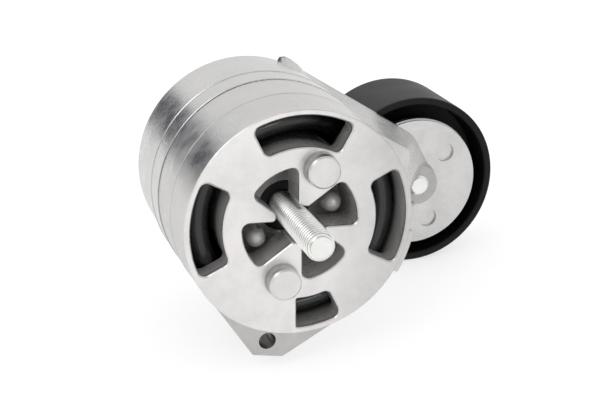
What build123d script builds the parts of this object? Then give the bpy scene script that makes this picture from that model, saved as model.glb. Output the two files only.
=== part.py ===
from build123d import *

import os
from math import asin, atan2, cos, degrees, radians, sin

# Automatic belt tensioner. All sizes in millimetres.
# The swing axis of the arm runs along Y. The mounting face lies at Y = 0 and faces -Y,
# the spring case and the arm follow towards +Y, and the idler pulley stands at +X.
# Profiles of turned pieces are lists of (radius, depth) corners, depth along +Y.

os.makedirs("parts", exist_ok=True)

# ---- driving dimensions: the spring case ----
CASE_R = 48.0                 # outer radius of the case
CASE_END = 44.5               # open end of the base half
FACE_R = 47.0                 # radius of the raised mounting face
PLATE_T = 9.0                 # thickness of the mounting plate at the windows
SPRING_IN_R = 32.0            # inner wall of the spring space, and of the windows
SPRING_OUT_R = 45.0           # outer wall of the spring space, and of the windows
WINDOWS = [(60.0, 115.5), (-28.5, 26.0), (150.5, 204.0)]  # first and last direction of each long window
WINDOW_CORNER = 2.8           # rounding of their corners
SHORT_START_X = -1.95         # the short window starts at this X, with a square end
SHORT_END = (26.09, -60.0)    # and ends on the line from (SHORT_START_X, 0) to this point
SHORT_CORNERS = (0.6, 3.2)    # rounding of its square end and of its other end
STAR_R = 24.1                 # radius of the star-shaped centre opening
SPOKE_DEPTH = 15.0            # depth of the four spokes
TOP_SPOKE = [(-0.6, 30), (-0.6, 8.2), (3.2, 7.2), (34, 28)]
SIDE_SPOKE = [(-30, 3.1), (-10.2, 2.2), (-10.2, 5.4), (-30, 22.5)]
STAR_CORNERS = (1.6, 3.0)     # rounding of the spokes' tips and of their feet
COLUMN_ANGLES = (12.0, 208.0)  # two domed columns inside the centre cavity
COLUMN_PITCH_R = 17.3
COLUMN_R = 4.2
COLUMN_NEAR = 13.0            # depth of each dome's centre
CORE_END = 23.5               # floor of the centre cavity
DOWEL_PITCH_R = 24.1          # distance of each locating boss from the axis
DOWEL_ANGLE = 70.5            # direction of the first locating boss
DOWEL_R = 6.75                # radius of the locating bosses
DOWEL_H = 6.0                 # their height above the mounting face
LUG_STEP = 1.2                # the lug lies this far behind the mounting face
LUG_T = 16.0                  # thickness of the lug
LUG_HOLE = (-14.0, -49.5)     # X and Z of the hole in the lug
LUG_HOLE_R = 3.6
LUG_CORNER = 2.0
PAD = (40.0, 49.3, -32.0, -10.0)  # low pad on the rim: inner and outer radius, first and last direction
PAD_NEAR = 0.4
PAD_T = 12.0
END_POCKET = (27.5, 34.0, 54.0, 63.5)  # pocket for the spring's end: radii and directions
END_POCKET_NEAR = 13.5
END_POCKET_T = 12.0
EDGE = 0.45                   # bevel round the openings
PARTING = 23.0                # depth of the mould's parting line on the base half
STOP_WIDTH = 14.0             # angle of each stop
STOP_ANGLE = 200.0            # where the free stop begins
STOP_GAP = 0.6                # angle between touching stops
STOP_IN_R = 26.8
STOP_OUT_R = 31.0
STOP_TOP = 48.7

# ---- driving dimensions: pivot, fasteners and spring ----
PIVOT_R = 11.0                # outer radius of the pivot tube
PIVOT_BORE_R = 6.6
PIVOT_START = 24.0            # its end lies just below the floor of the centre cavity
PIVOT_END = 91.2
BOLT_R = 6.0                  # M12 mounting bolt
BOLT_WAIST_R = 5.4            # its shank inside the tensioner
BOLT_TIP = -26.0
FIT = 0.02                    # radial gap of a seated fit
RUN = 0.06                    # radial gap of a running fit
WIRE_R = 4.5                  # torsion spring wire
COIL_R = 39.3                 # radius of the coil's centre line
COIL_START = 13.8             # depth of the coil's first and last point
COIL_END = 81.2
COIL_TURNS = 6.4
COIL_ANGLE = 50.0             # direction of the wire's first end
COIL_LAST_ANGLE = (COIL_ANGLE - 360 * COIL_TURNS) % 360
COIL_PITCH = (COIL_END - COIL_START) / COIL_TURNS
ABUTMENT_TURN = 6.0           # angle that each spring abutment takes
ABUTMENT_GAP = 1.0            # angle between it and the wire's end
ABUTMENT_OVER = 0.7           # how far it reaches past the depth of the wire's middle
WASHER_T = 2.5                # washer under the mounting bolt's head
WASHER_TOP = PIVOT_END + WASHER_T
HEAD_WIDTH = 18.0             # the mounting bolt's head across its flats
HEAD_H = 8.0
FLANGE_UNDER_HEAD_R = 12.2

# ---- driving dimensions: arm ----
ARM_START = 45.0              # the arm half of the case, behind a thin seam
ARM_END = 90.2
BAND_END = 58.6               # far edge of the slightly raised band beside the seam
ARM_LENGTH = 88.6             # swing axis to pulley axis
ARM_ANGLE = -13.6             # direction of the arm at rest
ARM_TRAVEL = 50.0             # swing from the free stop to the load stop
HUB_R = 24.0
HUB_BORE_R = 14.0
WEB_NEAR = 68.0               # nearest face of the arm's web
WEB_DRUM_R = 48.6             # the web's edges are tangent to these two circles
WEB_TIP_R = 19.6
NOSE_R = 11.2                 # tip of the web round the pulley bolt
NOSE_ANGLE = 45.5             # slope of the tip's flanks from the arm's centre line
NOSE_FLAT = (11.0, 3.8)       # corner of the tip's flat end, from the pulley axis
WEB_CORNER = 14.0             # rounding between the web's long edge and the flank of its tip
NOSE_CORNER = 7.0             # rounding of the tip's flat end
WEB_NEAR_R = 41.0             # the same corners on the web's nearest face, which is narrower
WEB_NEAR_CORNERS = [(71.5, 20.3), (74.0, 3.5)]
WEB_NEAR_ROUND = 3.0
DISC_R = 31.4                 # dust shield disc inside the pulley
DISC_END = 93.4
HUB_NEAR = 46.6               # start of the hub on the pivot
FLANGE_R = 31.2               # flange on the hub that carries the stop finger
FLANGE_NEAR = 49.0
FLANGE_T = 4.0
CAVITY_END = 86.0             # far end of the spring space
RECESS = 86.5                 # floor of the recess for the front plate
PLATE_RECESS_R = 22.0
BOSS_NEAR = 84.6              # spot face round the pulley bolt's end
BOSS_TOP_R = 9.6
SPOT_FACE_R = 8.9
EJECTOR_ANGLES = (42.0, -69.0)  # two round ejector marks on the disc
EJECTOR_PITCH_R = 20.4
EJECTOR_R = 4.6
EJECTOR_SUNK = 0.3
SOCKET_BOSS_R = 10.5
SOCKET_OFFSET = -33.0         # its place on the arm's centre line
SOCKET_WIDTH = 12.8           # for a half-inch square drive
SOCKET_H = 9.0
SOCKET_SUNK = 1.8
# low lug on the far rim: (radius, direction) of its crest, fading out towards the web
RIM_LUG = [(47.4, 68.6), (49.6, 68.0), (50.5, 65.6), (50.4, 62.0), (49.9, 58.0), (49.3, 55.0), (48.2, 51.0)]
RIM_LUG_ROOT_R = 45.7
RIM_LUG_START = 80.0          # it rises out of the drum from here
RIM_LUG_FULL = 87.6           # to its full height here
RIM_LUG_END = 89.6

# ---- driving dimensions: pulley and bearing (17 x 47 x 14) ----
PULLEY_BOLT_R = 5.0           # M10 pulley bolt
PULLEY_HEAD_WIDTH = 17.0
PULLEY_HEAD_H = 6.6
PULLEY_R = 41.36
PULLEY_BORE_R = 37.8          # inside of the rim
PULLEY_NEAR = 91.2
PULLEY_FAR = 130.4
BRG_NEAR = 103.8
BRG_FAR = 117.8
BRG_OUT_R = 23.5
BRG_IN_R = 8.5
BALL_R = 4.7
BALL_PITCH_R = 16.0
BALL_COUNT = 7
GROOVE_R = BALL_R + 0.08
INNER_RING_R = 12.4           # shoulders of the two rings
OUTER_RING_R = 19.6
SEAL_IN_R = 12.5
SEAL_OUT_R = 19.58
SEAL_T = 0.9
SEAL_SUNK = 0.3
CAGE_IN_R = 14.9
CAGE_OUT_R = 17.1
CAGE_HALF = 5.5
HUB_FAR = 121.0               # far end of the pulley's hub
RING_NEAR = BRG_FAR + 0.1     # groove of the retaining ring
RING_FAR = RING_NEAR + 1.2
WASHER_FAR = BRG_FAR + 2.0

DRUM_AXIS = Axis((0, 0, 0), (0, 1, 0))
BRG_MID = (BRG_NEAR + BRG_FAR) / 2


def polar(radius, angle):
    """X and Z of a point at this radius and direction."""
    return (radius * cos(radians(angle)), radius * sin(radians(angle)))


PULLEY_X, PULLEY_Z = polar(ARM_LENGTH, ARM_ANGLE)
PULLEY_CENTRE = (PULLEY_X, PULLEY_Z)
PULLEY_AXIS = Axis((PULLEY_X, 0, PULLEY_Z), (0, 1, 0))


def across(depth, turn=0.0):
    """A plane square to the swing axis. Its x is +X, its y is +Z, and -amount extrudes to +Y."""
    x, z = polar(1, turn)
    return Plane(origin=(0, depth, 0), x_dir=(x, 0, z), z_dir=(0, -1, 0))


def section(corners, centre=(0, 0)):
    """The half section of a turned piece about an axis along Y through centre."""
    with BuildSketch(Plane(origin=(centre[0], 0, centre[1]))) as half:
        with BuildLine():
            Polyline(*corners, close=True)
        make_face()
    return half.sketch


def tube(inner, outer, start, end):
    """The (radius, depth) corners of a plain ring."""
    return [(inner, start), (outer, start), (outer, end), (inner, end)]


def sector(depth, inner, outer, start, end, corner=0.0):
    """A flat piece of a ring from one direction to another, with rounded corners."""
    with BuildSketch(across(depth)) as shape:
        with BuildLine():
            CenterArc((0, 0), outer, start, end - start)
            Line(polar(outer, end), polar(inner, end))
            CenterArc((0, 0), inner, start, end - start)
            Line(polar(inner, start), polar(outer, start))
        make_face()
        if corner:
            fillet(shape.vertices(), corner)
    return shape.sketch


# ================= fixed to the engine =================

EDGE_TURN = degrees(EDGE / SPRING_IN_R)

with BuildPart() as base_housing:
    revolve(
        section(
            [
                (0, 0),
                (FACE_R, 0),
                (FACE_R + 0.35, 0.3),
                (CASE_R - 0.15, PARTING - 0.3),
                (CASE_R, PARTING - 0.12),
                (CASE_R, PARTING + 0.12),
                (CASE_R - 0.05, PARTING + 0.3),
                (CASE_R, CASE_END - 0.2),
                (CASE_R - 0.2, CASE_END),
                (SPRING_OUT_R, CASE_END),
                (SPRING_OUT_R, PLATE_T),
                (SPRING_IN_R, PLATE_T),
                (SPRING_IN_R - 0.5, CASE_END),
                (PIVOT_R + FIT, CASE_END),
                (PIVOT_R + FIT, CORE_END),
                (STAR_R, CORE_END),
                (STAR_R, SPOKE_DEPTH),
                (0, SPOKE_DEPTH),
            ]
        ),
        axis=DRUM_AXIS,
    )
    # lug at the lower left, set a little behind the mounting face
    with BuildSketch(across(LUG_STEP)) as lug_outline:
        with BuildLine():
            Polyline(
                polar(46.8, -147.2), (-20.2, -55.0), (-7.6, -57.4), polar(46.8, -61.4), (0, 0), close=True
            )
        make_face()
        fillet(lug_outline.vertices().sort_by(Axis.Z)[:2], LUG_CORNER)
    extrude(amount=-LUG_T)
    # low pad on the rim at the right
    extrude(sector(PAD_NEAR, *PAD, 0.8), amount=-PAD_T)
    # spring space and windows are cleared again where the lug and the pad ran in
    revolve(section(tube(SPRING_IN_R, SPRING_OUT_R, PLATE_T, CASE_END)), axis=DRUM_AXIS, mode=Mode.SUBTRACT)
    revolve(section(tube(0, STAR_R, SPOKE_DEPTH, CORE_END)), axis=DRUM_AXIS, mode=Mode.SUBTRACT)
    # star-shaped centre opening between four spokes
    with BuildSketch(across(0)) as star:
        Circle(STAR_R)
        with PolarLocations(0, 2):
            Polygon(*TOP_SPOKE, align=None, mode=Mode.SUBTRACT)
            Polygon(*SIDE_SPOKE, align=None, mode=Mode.SUBTRACT)
        fillet(star.vertices().filter_by(lambda v: v.center().length < STAR_R - 2), STAR_CORNERS[0])
        fillet(star.vertices().filter_by(lambda v: v.center().length > STAR_R - 0.1), STAR_CORNERS[1])
    extrude(amount=-SPOKE_DEPTH, mode=Mode.SUBTRACT)
    with BuildSketch(across(0)):
        add(star.sketch_local)
        offset(amount=EDGE)
    extrude(amount=-EDGE, taper=45, mode=Mode.SUBTRACT)
    # three long arc windows and a short one with a squared end
    for first, last in WINDOWS:
        window = sector(0, SPRING_IN_R, SPRING_OUT_R, first, last, WINDOW_CORNER)
        extrude(window, amount=-PLATE_T, mode=Mode.SUBTRACT)
        mouth = sector(
            0,
            SPRING_IN_R - EDGE,
            SPRING_OUT_R + EDGE,
            first - EDGE_TURN,
            last + EDGE_TURN,
            WINDOW_CORNER + EDGE,
        )
        extrude(mouth, amount=-EDGE, taper=45, mode=Mode.SUBTRACT)
    with BuildSketch(across(0)) as short_window:
        Circle(SPRING_OUT_R)
        Circle(SPRING_IN_R, mode=Mode.SUBTRACT)
        Polygon(
            (SHORT_START_X, 0),
            (SHORT_START_X, SHORT_END[1]),
            SHORT_END,
            align=None,
            mode=Mode.INTERSECT,
        )
        fillet(short_window.vertices().sort_by(Axis.X)[-2:], SHORT_CORNERS[1])
        fillet(short_window.vertices().sort_by(Axis.X)[:2], SHORT_CORNERS[0])
    extrude(amount=-PLATE_T, mode=Mode.SUBTRACT)
    with BuildSketch(across(0)):
        add(short_window.sketch_local)
        offset(amount=EDGE)
    extrude(amount=-EDGE, taper=45, mode=Mode.SUBTRACT)
    # pocket for the spring's first end, open to the top window
    extrude(sector(END_POCKET_NEAR, *END_POCKET, 1.5), amount=-END_POCKET_T, mode=Mode.SUBTRACT)
    # abutment for the spring's first end
    extrude(
        sector(
            PLATE_T - 1,
            SPRING_IN_R - 1,
            SPRING_OUT_R + 1,
            COIL_ANGLE + ABUTMENT_GAP,
            COIL_ANGLE + ABUTMENT_GAP + ABUTMENT_TURN,
        ),
        amount=-(COIL_START + ABUTMENT_OVER - PLATE_T + 1),
    )
    # two domed columns inside the centre cavity
    for angle in COLUMN_ANGLES:
        x, z = polar(COLUMN_PITCH_R, angle)
        with Locations((x, COLUMN_NEAR, z)):
            Sphere(COLUMN_R)
        with Locations((x, (COLUMN_NEAR + CORE_END) / 2, z)):
            Cylinder(COLUMN_R, CORE_END - COLUMN_NEAR, rotation=(90, 0, 0))
    # two locating bosses on the mounting face
    for angle in (DOWEL_ANGLE, DOWEL_ANGLE + 180):
        x, z = polar(DOWEL_PITCH_R, angle)
        with BuildSketch(across(1.0)):
            with Locations((x, z)):
                Circle(DOWEL_R)
        extrude(amount=DOWEL_H + 1.0)
    chamfer(base_housing.edges().group_by(Axis.Y)[0], 0.7)
    # hole through the lug
    with BuildSketch(across(0)):
        with Locations(LUG_HOLE):
            Circle(LUG_HOLE_R)
    extrude(amount=-30, mode=Mode.SUBTRACT)
    # stops on the inner wall's end: the arm's finger swings between them
    for start in (STOP_ANGLE - STOP_WIDTH - STOP_GAP, STOP_ANGLE + STOP_WIDTH + ARM_TRAVEL + STOP_GAP):
        extrude(
            sector(CASE_END - 0.5, STOP_IN_R, STOP_OUT_R, start, start + STOP_WIDTH),
            amount=-(STOP_TOP - CASE_END + 0.5),
        )
base_housing.part.label = "base_housing"
export_step(base_housing.part, "parts/base_housing.step")

with BuildPart() as pivot_tube:
    revolve(section(tube(PIVOT_BORE_R, PIVOT_R, PIVOT_START, PIVOT_END)), axis=DRUM_AXIS)
    chamfer(pivot_tube.edges(), 0.4)
pivot_tube.part.label = "pivot_tube"
export_step(pivot_tube.part, "parts/pivot_tube.step")

with BuildPart() as front_plate:
    revolve(section(tube(PIVOT_R + FIT, 21.6, 88.2, 91.1)), axis=DRUM_AXIS)
    chamfer(front_plate.edges().group_by(Axis.Y)[-1], 0.5)
front_plate.part.label = "front_plate"
export_step(front_plate.part, "parts/front_plate.step")

with BuildPart() as bolt_washer:
    revolve(section(tube(BOLT_R + 0.3, 13.0, PIVOT_END, WASHER_TOP)), axis=DRUM_AXIS)
    chamfer(bolt_washer.edges().group_by(Axis.Y)[-1], 0.4)
bolt_washer.part.label = "bolt_washer"
export_step(bolt_washer.part, "parts/bolt_washer.step")

with BuildPart() as centre_bolt:
    revolve(
        section(
            [
                (0, BOLT_TIP),
                (BOLT_R - 1.5, BOLT_TIP),
                (BOLT_R, BOLT_TIP + 1.5),
                (BOLT_R, 0),
                (BOLT_WAIST_R, 0.6),
                (BOLT_WAIST_R, WASHER_TOP - 4.0),
                (BOLT_R, WASHER_TOP - 3.0),
                (BOLT_R, WASHER_TOP),
                (FLANGE_UNDER_HEAD_R, WASHER_TOP),
                (FLANGE_UNDER_HEAD_R, WASHER_TOP + 1.0),
                (9.5, WASHER_TOP + 2.6),
                (0, WASHER_TOP + 2.6),
            ]
        ),
        axis=DRUM_AXIS,
    )
    with BuildSketch(across(WASHER_TOP + 2.0)):
        RegularPolygon(HEAD_WIDTH / 2, 6, major_radius=False)
    extrude(amount=-HEAD_H)
    chamfer(centre_bolt.edges().group_by(Axis.Y)[-1], 0.6)
centre_bolt.part.label = "centre_bolt"
export_step(centre_bolt.part, "parts/centre_bolt.step")

with BuildPart() as torsion_spring:
    with BuildLine() as coil:
        Helix(COIL_PITCH, COIL_END - COIL_START, COIL_R, center=(0, COIL_START, 0), direction=(0, 1, 0))
    start_point = coil.line @ 0
    start_angle = degrees(atan2(start_point.Z, start_point.X))
    wire_path = coil.line.rotate(DRUM_AXIS, start_angle - COIL_ANGLE)
    with BuildSketch(Plane(origin=wire_path @ 0, z_dir=wire_path % 0)):
        Circle(WIRE_R)
    sweep(path=wire_path, is_frenet=True)
torsion_spring.part.label = "torsion_spring"
export_step(torsion_spring.part, "parts/torsion_spring.step")

# ================= swings with the arm =================

WEB_SLOPE = degrees(asin((WEB_DRUM_R - WEB_TIP_R) / ARM_LENGTH))


def meet(distance_1, angle_1, distance_2, angle_2):
    """Where two lines meet, each given by its distance from the origin and its normal's direction."""
    a, b = polar(1, angle_1)
    c, d = polar(1, angle_2)
    det = a * d - b * c
    return ((distance_1 * d - distance_2 * b) / det, (a * distance_2 - c * distance_1) / det)


def mirrored(points):
    """Points above the arm's centre line, then the same ones below it in reverse order."""
    return points + [(x, -y) for x, y in reversed(points)]


# corner between the web's long edge and the flank of its tip, from the swing axis
CORNER_X, CORNER_Y = meet(WEB_TIP_R, 90 - WEB_SLOPE, NOSE_R, 90 - NOSE_ANGLE)
WEB_FAR_EDGE = mirrored(
    [
        polar(WEB_DRUM_R, 90 - WEB_SLOPE),
        (ARM_LENGTH + CORNER_X, CORNER_Y),
        (ARM_LENGTH + NOSE_FLAT[0], NOSE_FLAT[1]),
    ]
)
WEB_NEAR_EDGE = mirrored([polar(WEB_NEAR_R, 90 - WEB_SLOPE), *WEB_NEAR_CORNERS])
RIM_LUG_FOOT = [polar(RIM_LUG_ROOT_R, RIM_LUG[-1][1]), polar(RIM_LUG_ROOT_R, RIM_LUG[0][1])]

with BuildPart() as tensioner_arm:
    # web: broad against the pulley, narrower and sloped towards the mounting side
    with BuildSketch(across(ARM_END, ARM_ANGLE)) as web_far:
        Polygon(*WEB_FAR_EDGE, align=None)
        fillet(web_far.vertices().sort_by(Axis.X)[2:4], WEB_CORNER)
        fillet(web_far.vertices().sort_by(Axis.X)[-2:], NOSE_CORNER)
    with BuildSketch(across(WEB_NEAR, ARM_ANGLE)) as web_near:
        Polygon(*WEB_NEAR_EDGE, align=None)
        fillet(web_near.vertices().filter_by(lambda v: v.center().length > CASE_R + 5), WEB_NEAR_ROUND)
    loft()
    # dust shield disc and bearing spigot
    revolve(
        section(
            [
                (0, ARM_END - 1),
                (DISC_R - 0.6, ARM_END - 1),
                (DISC_R - 0.6, ARM_END),
                (DISC_R, ARM_END + 0.6),
                (DISC_R, DISC_END),
                (14.0, DISC_END),
                (11.2, DISC_END + 2.0),
                (11.2, BRG_NEAR),
                (0, BRG_NEAR),
            ],
            PULLEY_CENTRE,
        ),
        axis=PULLEY_AXIS,
    )
    # arm half of the spring case, with a slightly raised band beside the seam
    revolve(
        section(
            [
                (0, ARM_START),
                (CASE_R + 0.2, ARM_START),
                (CASE_R + 0.4, ARM_START + 0.15),
                (CASE_R + 0.3, BAND_END - 0.5),
                (CASE_R + 0.55, BAND_END - 0.3),
                (CASE_R + 0.55, BAND_END),
                (CASE_R - 0.1, BAND_END + 0.3),
                (CASE_R - 0.3, ARM_END - 0.8),
                (CASE_R - 1.1, ARM_END),
                (0, ARM_END),
            ]
        ),
        axis=DRUM_AXIS,
    )
    # spring space, leaving the hub and its flange
    revolve(
        section(
            [
                (0, ARM_START - 1),
                (SPRING_OUT_R, ARM_START - 1),
                (SPRING_OUT_R, CAVITY_END),
                (HUB_R, CAVITY_END),
                (HUB_R, FLANGE_NEAR + FLANGE_T),
                (FLANGE_R, FLANGE_NEAR + FLANGE_T),
                (FLANGE_R, FLANGE_NEAR),
                (HUB_R, FLANGE_NEAR),
                (HUB_R, HUB_NEAR),
                (0, HUB_NEAR),
            ]
        ),
        axis=DRUM_AXIS,
        mode=Mode.SUBTRACT,
    )
    # bore for the bushings and recess for the front plate
    revolve(section(tube(0, HUB_BORE_R + FIT, HUB_NEAR, RECESS)), axis=DRUM_AXIS, mode=Mode.SUBTRACT)
    revolve(section(tube(0, PLATE_RECESS_R, RECESS, ARM_END)), axis=DRUM_AXIS, mode=Mode.SUBTRACT)
    # finger that meets the case's stops
    extrude(
        sector(ARM_START + 0.2, STOP_IN_R, STOP_OUT_R, STOP_ANGLE, STOP_ANGLE + STOP_WIDTH),
        amount=-(FLANGE_NEAR - ARM_START + 0.5),
    )
    # abutment for the spring's second end
    extrude(
        sector(
            COIL_END - ABUTMENT_OVER,
            SPRING_IN_R + 1,
            SPRING_OUT_R + 1,
            COIL_LAST_ANGLE - ABUTMENT_GAP - ABUTMENT_TURN,
            COIL_LAST_ANGLE - ABUTMENT_GAP,
        ),
        amount=-(CAVITY_END - COIL_END + ABUTMENT_OVER + 0.5),
    )
    # low lug on the far rim that fades out towards the web and the mounting side
    with BuildSketch(across(RIM_LUG_START)) as lug_near:
        Polygon(*[polar(CASE_R - 1.0, angle) for radius, angle in RIM_LUG], *RIM_LUG_FOOT, align=None)
    with BuildSketch(across(RIM_LUG_FULL)) as lug_far:
        Polygon(*[polar(radius, angle) for radius, angle in RIM_LUG], *RIM_LUG_FOOT, align=None)
    loft(sections=[lug_near.sketch, lug_far.sketch])
    extrude(lug_far.sketch, amount=-(RIM_LUG_END - RIM_LUG_FULL))
    # boss round the pulley bolt, spot-faced towards the mounting side
    revolve(
        section(
            [(0, BOSS_NEAR), (BOSS_TOP_R, BOSS_NEAR), (NOSE_R, ARM_END), (0, ARM_END)],
            PULLEY_CENTRE,
        ),
        axis=PULLEY_AXIS,
    )
    revolve(
        section(tube(0, SPOT_FACE_R, WEB_NEAR - 1, BOSS_NEAR), PULLEY_CENTRE),
        axis=PULLEY_AXIS,
        mode=Mode.SUBTRACT,
    )
    revolve(
        section(tube(0, PULLEY_BOLT_R + FIT, WEB_NEAR, BRG_NEAR), PULLEY_CENTRE),
        axis=PULLEY_AXIS,
        mode=Mode.SUBTRACT,
    )
    # round ejector marks on the disc
    for angle in EJECTOR_ANGLES:
        x, z = polar(EJECTOR_PITCH_R, angle)
        with BuildSketch(across(ARM_END - 1)):
            with Locations((PULLEY_X + x, PULLEY_Z + z)):
                Circle(EJECTOR_R)
        extrude(amount=-(1 + EJECTOR_SUNK), mode=Mode.SUBTRACT)
    # square drive socket for releasing the belt, on the end wall
    x, z = polar(SOCKET_OFFSET, ARM_ANGLE)
    with BuildSketch(across(ARM_END - 1)):
        with Locations((x, z)):
            Circle(SOCKET_BOSS_R)
    extrude(amount=-(SOCKET_H + 1))
    with BuildSketch(across(ARM_END + SOCKET_H, ARM_ANGLE)):
        with Locations((SOCKET_OFFSET, 0)):
            RectangleRounded(SOCKET_WIDTH, SOCKET_WIDTH, 0.8)
    extrude(amount=SOCKET_H + SOCKET_SUNK, mode=Mode.SUBTRACT)
tensioner_arm.part.label = "tensioner_arm"
export_step(tensioner_arm.part, "parts/tensioner_arm.step")

with BuildPart() as damping_sleeve:
    revolve(section(tube(44.1, SPRING_OUT_R - 0.07, 34.0, 60.0)), axis=DRUM_AXIS)
    with BuildSketch(across(33.0)):
        Polygon(*[(0, 0), polar(60, 118), polar(60, 122)], align=None)
    extrude(amount=-28.0, mode=Mode.SUBTRACT)
damping_sleeve.part.label = "damping_sleeve"
export_step(damping_sleeve.part, "parts/damping_sleeve.step")

with BuildPart() as rear_bushing:
    revolve(section(tube(PIVOT_R + RUN, HUB_BORE_R, HUB_NEAR + 0.6, HUB_NEAR + 15.0)), axis=DRUM_AXIS)
rear_bushing.part.label = "rear_bushing"
export_step(rear_bushing.part, "parts/rear_bushing.step")

with BuildPart() as front_bushing:
    revolve(section(tube(PIVOT_R + RUN, HUB_BORE_R, RECESS - 15.0, RECESS - 0.6)), axis=DRUM_AXIS)
front_bushing.part.label = "front_bushing"
export_step(front_bushing.part, "parts/front_bushing.step")

with BuildPart() as rear_thrust_washer:
    revolve(section(tube(PIVOT_R + 0.3, 22.0, CASE_END + 0.1, HUB_NEAR)), axis=DRUM_AXIS)
rear_thrust_washer.part.label = "rear_thrust_washer"
export_step(rear_thrust_washer.part, "parts/rear_thrust_washer.step")

with BuildPart() as front_thrust_washer:
    revolve(section(tube(PIVOT_R + 0.3, 21.6, RECESS, 88.1)), axis=DRUM_AXIS)
front_thrust_washer.part.label = "front_thrust_washer"
export_step(front_thrust_washer.part, "parts/front_thrust_washer.step")

with BuildPart() as pulley_bolt:
    revolve(
        section(
            [
                (0, BOSS_NEAR - 1.6),
                (PULLEY_BOLT_R - 1.1, BOSS_NEAR - 1.6),
                (PULLEY_BOLT_R, BOSS_NEAR - 0.5),
                (PULLEY_BOLT_R, WASHER_FAR),
                (11.5, WASHER_FAR),
                (11.5, WASHER_FAR + 0.9),
                (9.0, WASHER_FAR + 2.2),
                (0, WASHER_FAR + 2.2),
            ],
            PULLEY_CENTRE,
        ),
        axis=PULLEY_AXIS,
    )
    with BuildSketch(across(WASHER_FAR + 1.5)):
        with Locations(PULLEY_CENTRE):
            RegularPolygon(PULLEY_HEAD_WIDTH / 2, 6, major_radius=False)
    extrude(amount=-PULLEY_HEAD_H)
    chamfer(pulley_bolt.edges().group_by(Axis.Y)[-1], 0.6)
pulley_bolt.part.label = "pulley_bolt"
export_step(pulley_bolt.part, "parts/pulley_bolt.step")

with BuildPart() as bearing_spacer:
    revolve(section(tube(PULLEY_BOLT_R + 0.1, BRG_IN_R, BRG_NEAR, BRG_FAR), PULLEY_CENTRE), axis=PULLEY_AXIS)
bearing_spacer.part.label = "bearing_spacer"
export_step(bearing_spacer.part, "parts/bearing_spacer.step")

with BuildPart() as bearing_washer:
    revolve(section(tube(PULLEY_BOLT_R + 0.3, 12.2, BRG_FAR, WASHER_FAR), PULLEY_CENTRE), axis=PULLEY_AXIS)
bearing_washer.part.label = "bearing_washer"
export_step(bearing_washer.part, "parts/bearing_washer.step")

with BuildPart() as bearing_inner_ring:
    revolve(section(tube(BRG_IN_R + FIT, INNER_RING_R, BRG_NEAR, BRG_FAR), PULLEY_CENTRE), axis=PULLEY_AXIS)
    with BuildSketch(Plane(origin=(PULLEY_X, BRG_MID, PULLEY_Z))):
        with Locations((BALL_PITCH_R, 0)):
            Circle(GROOVE_R)
    revolve(axis=PULLEY_AXIS, mode=Mode.SUBTRACT)
    chamfer(bearing_inner_ring.edges().group_by(Axis.Y)[0], 0.4)
    chamfer(bearing_inner_ring.edges().group_by(Axis.Y)[-1], 0.4)
bearing_inner_ring.part.label = "bearing_inner_ring"
export_step(bearing_inner_ring.part, "parts/bearing_inner_ring.step")

# ================= rolls between the bearing rings =================

with BuildPart() as bearing_balls:
    for index in range(BALL_COUNT):
        x, z = polar(BALL_PITCH_R, 360 * index / BALL_COUNT)
        with Locations((PULLEY_X + x, BRG_MID, PULLEY_Z + z)):
            Sphere(BALL_R)
bearing_balls.part.label = "bearing_balls"
export_step(bearing_balls.part, "parts/bearing_balls.step")

with BuildPart() as ball_cage:
    revolve(
        section(tube(CAGE_IN_R, CAGE_OUT_R, BRG_MID - CAGE_HALF, BRG_MID + CAGE_HALF), PULLEY_CENTRE),
        axis=PULLEY_AXIS,
    )
    for index in range(BALL_COUNT):
        x, z = polar(1, 360 * index / BALL_COUNT)
        with BuildSketch(Plane(origin=(PULLEY_X, BRG_MID, PULLEY_Z), z_dir=(x, 0, z))):
            Circle(BALL_R + 0.1)
        extrude(amount=20, mode=Mode.SUBTRACT)
ball_cage.part.label = "ball_cage"
export_step(ball_cage.part, "parts/ball_cage.step")

# ================= turns with the pulley =================

with BuildPart() as bearing_outer_ring:
    revolve(section(tube(OUTER_RING_R, BRG_OUT_R, BRG_NEAR, BRG_FAR), PULLEY_CENTRE), axis=PULLEY_AXIS)
    with BuildSketch(Plane(origin=(PULLEY_X, BRG_MID, PULLEY_Z))):
        with Locations((BALL_PITCH_R, 0)):
            Circle(GROOVE_R)
    revolve(axis=PULLEY_AXIS, mode=Mode.SUBTRACT)
    chamfer(bearing_outer_ring.edges().group_by(Axis.Y)[0], 0.4)
    chamfer(bearing_outer_ring.edges().group_by(Axis.Y)[-1], 0.4)
bearing_outer_ring.part.label = "bearing_outer_ring"
export_step(bearing_outer_ring.part, "parts/bearing_outer_ring.step")

with BuildPart() as near_seal:
    start = BRG_NEAR + SEAL_SUNK
    revolve(section(tube(SEAL_IN_R, SEAL_OUT_R, start, start + SEAL_T), PULLEY_CENTRE), axis=PULLEY_AXIS)
near_seal.part.label = "near_seal"
export_step(near_seal.part, "parts/near_seal.step")

with BuildPart() as far_seal:
    end = BRG_FAR - SEAL_SUNK
    revolve(section(tube(SEAL_IN_R, SEAL_OUT_R, end - SEAL_T, end), PULLEY_CENTRE), axis=PULLEY_AXIS)
far_seal.part.label = "far_seal"
export_step(far_seal.part, "parts/far_seal.step")

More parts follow.
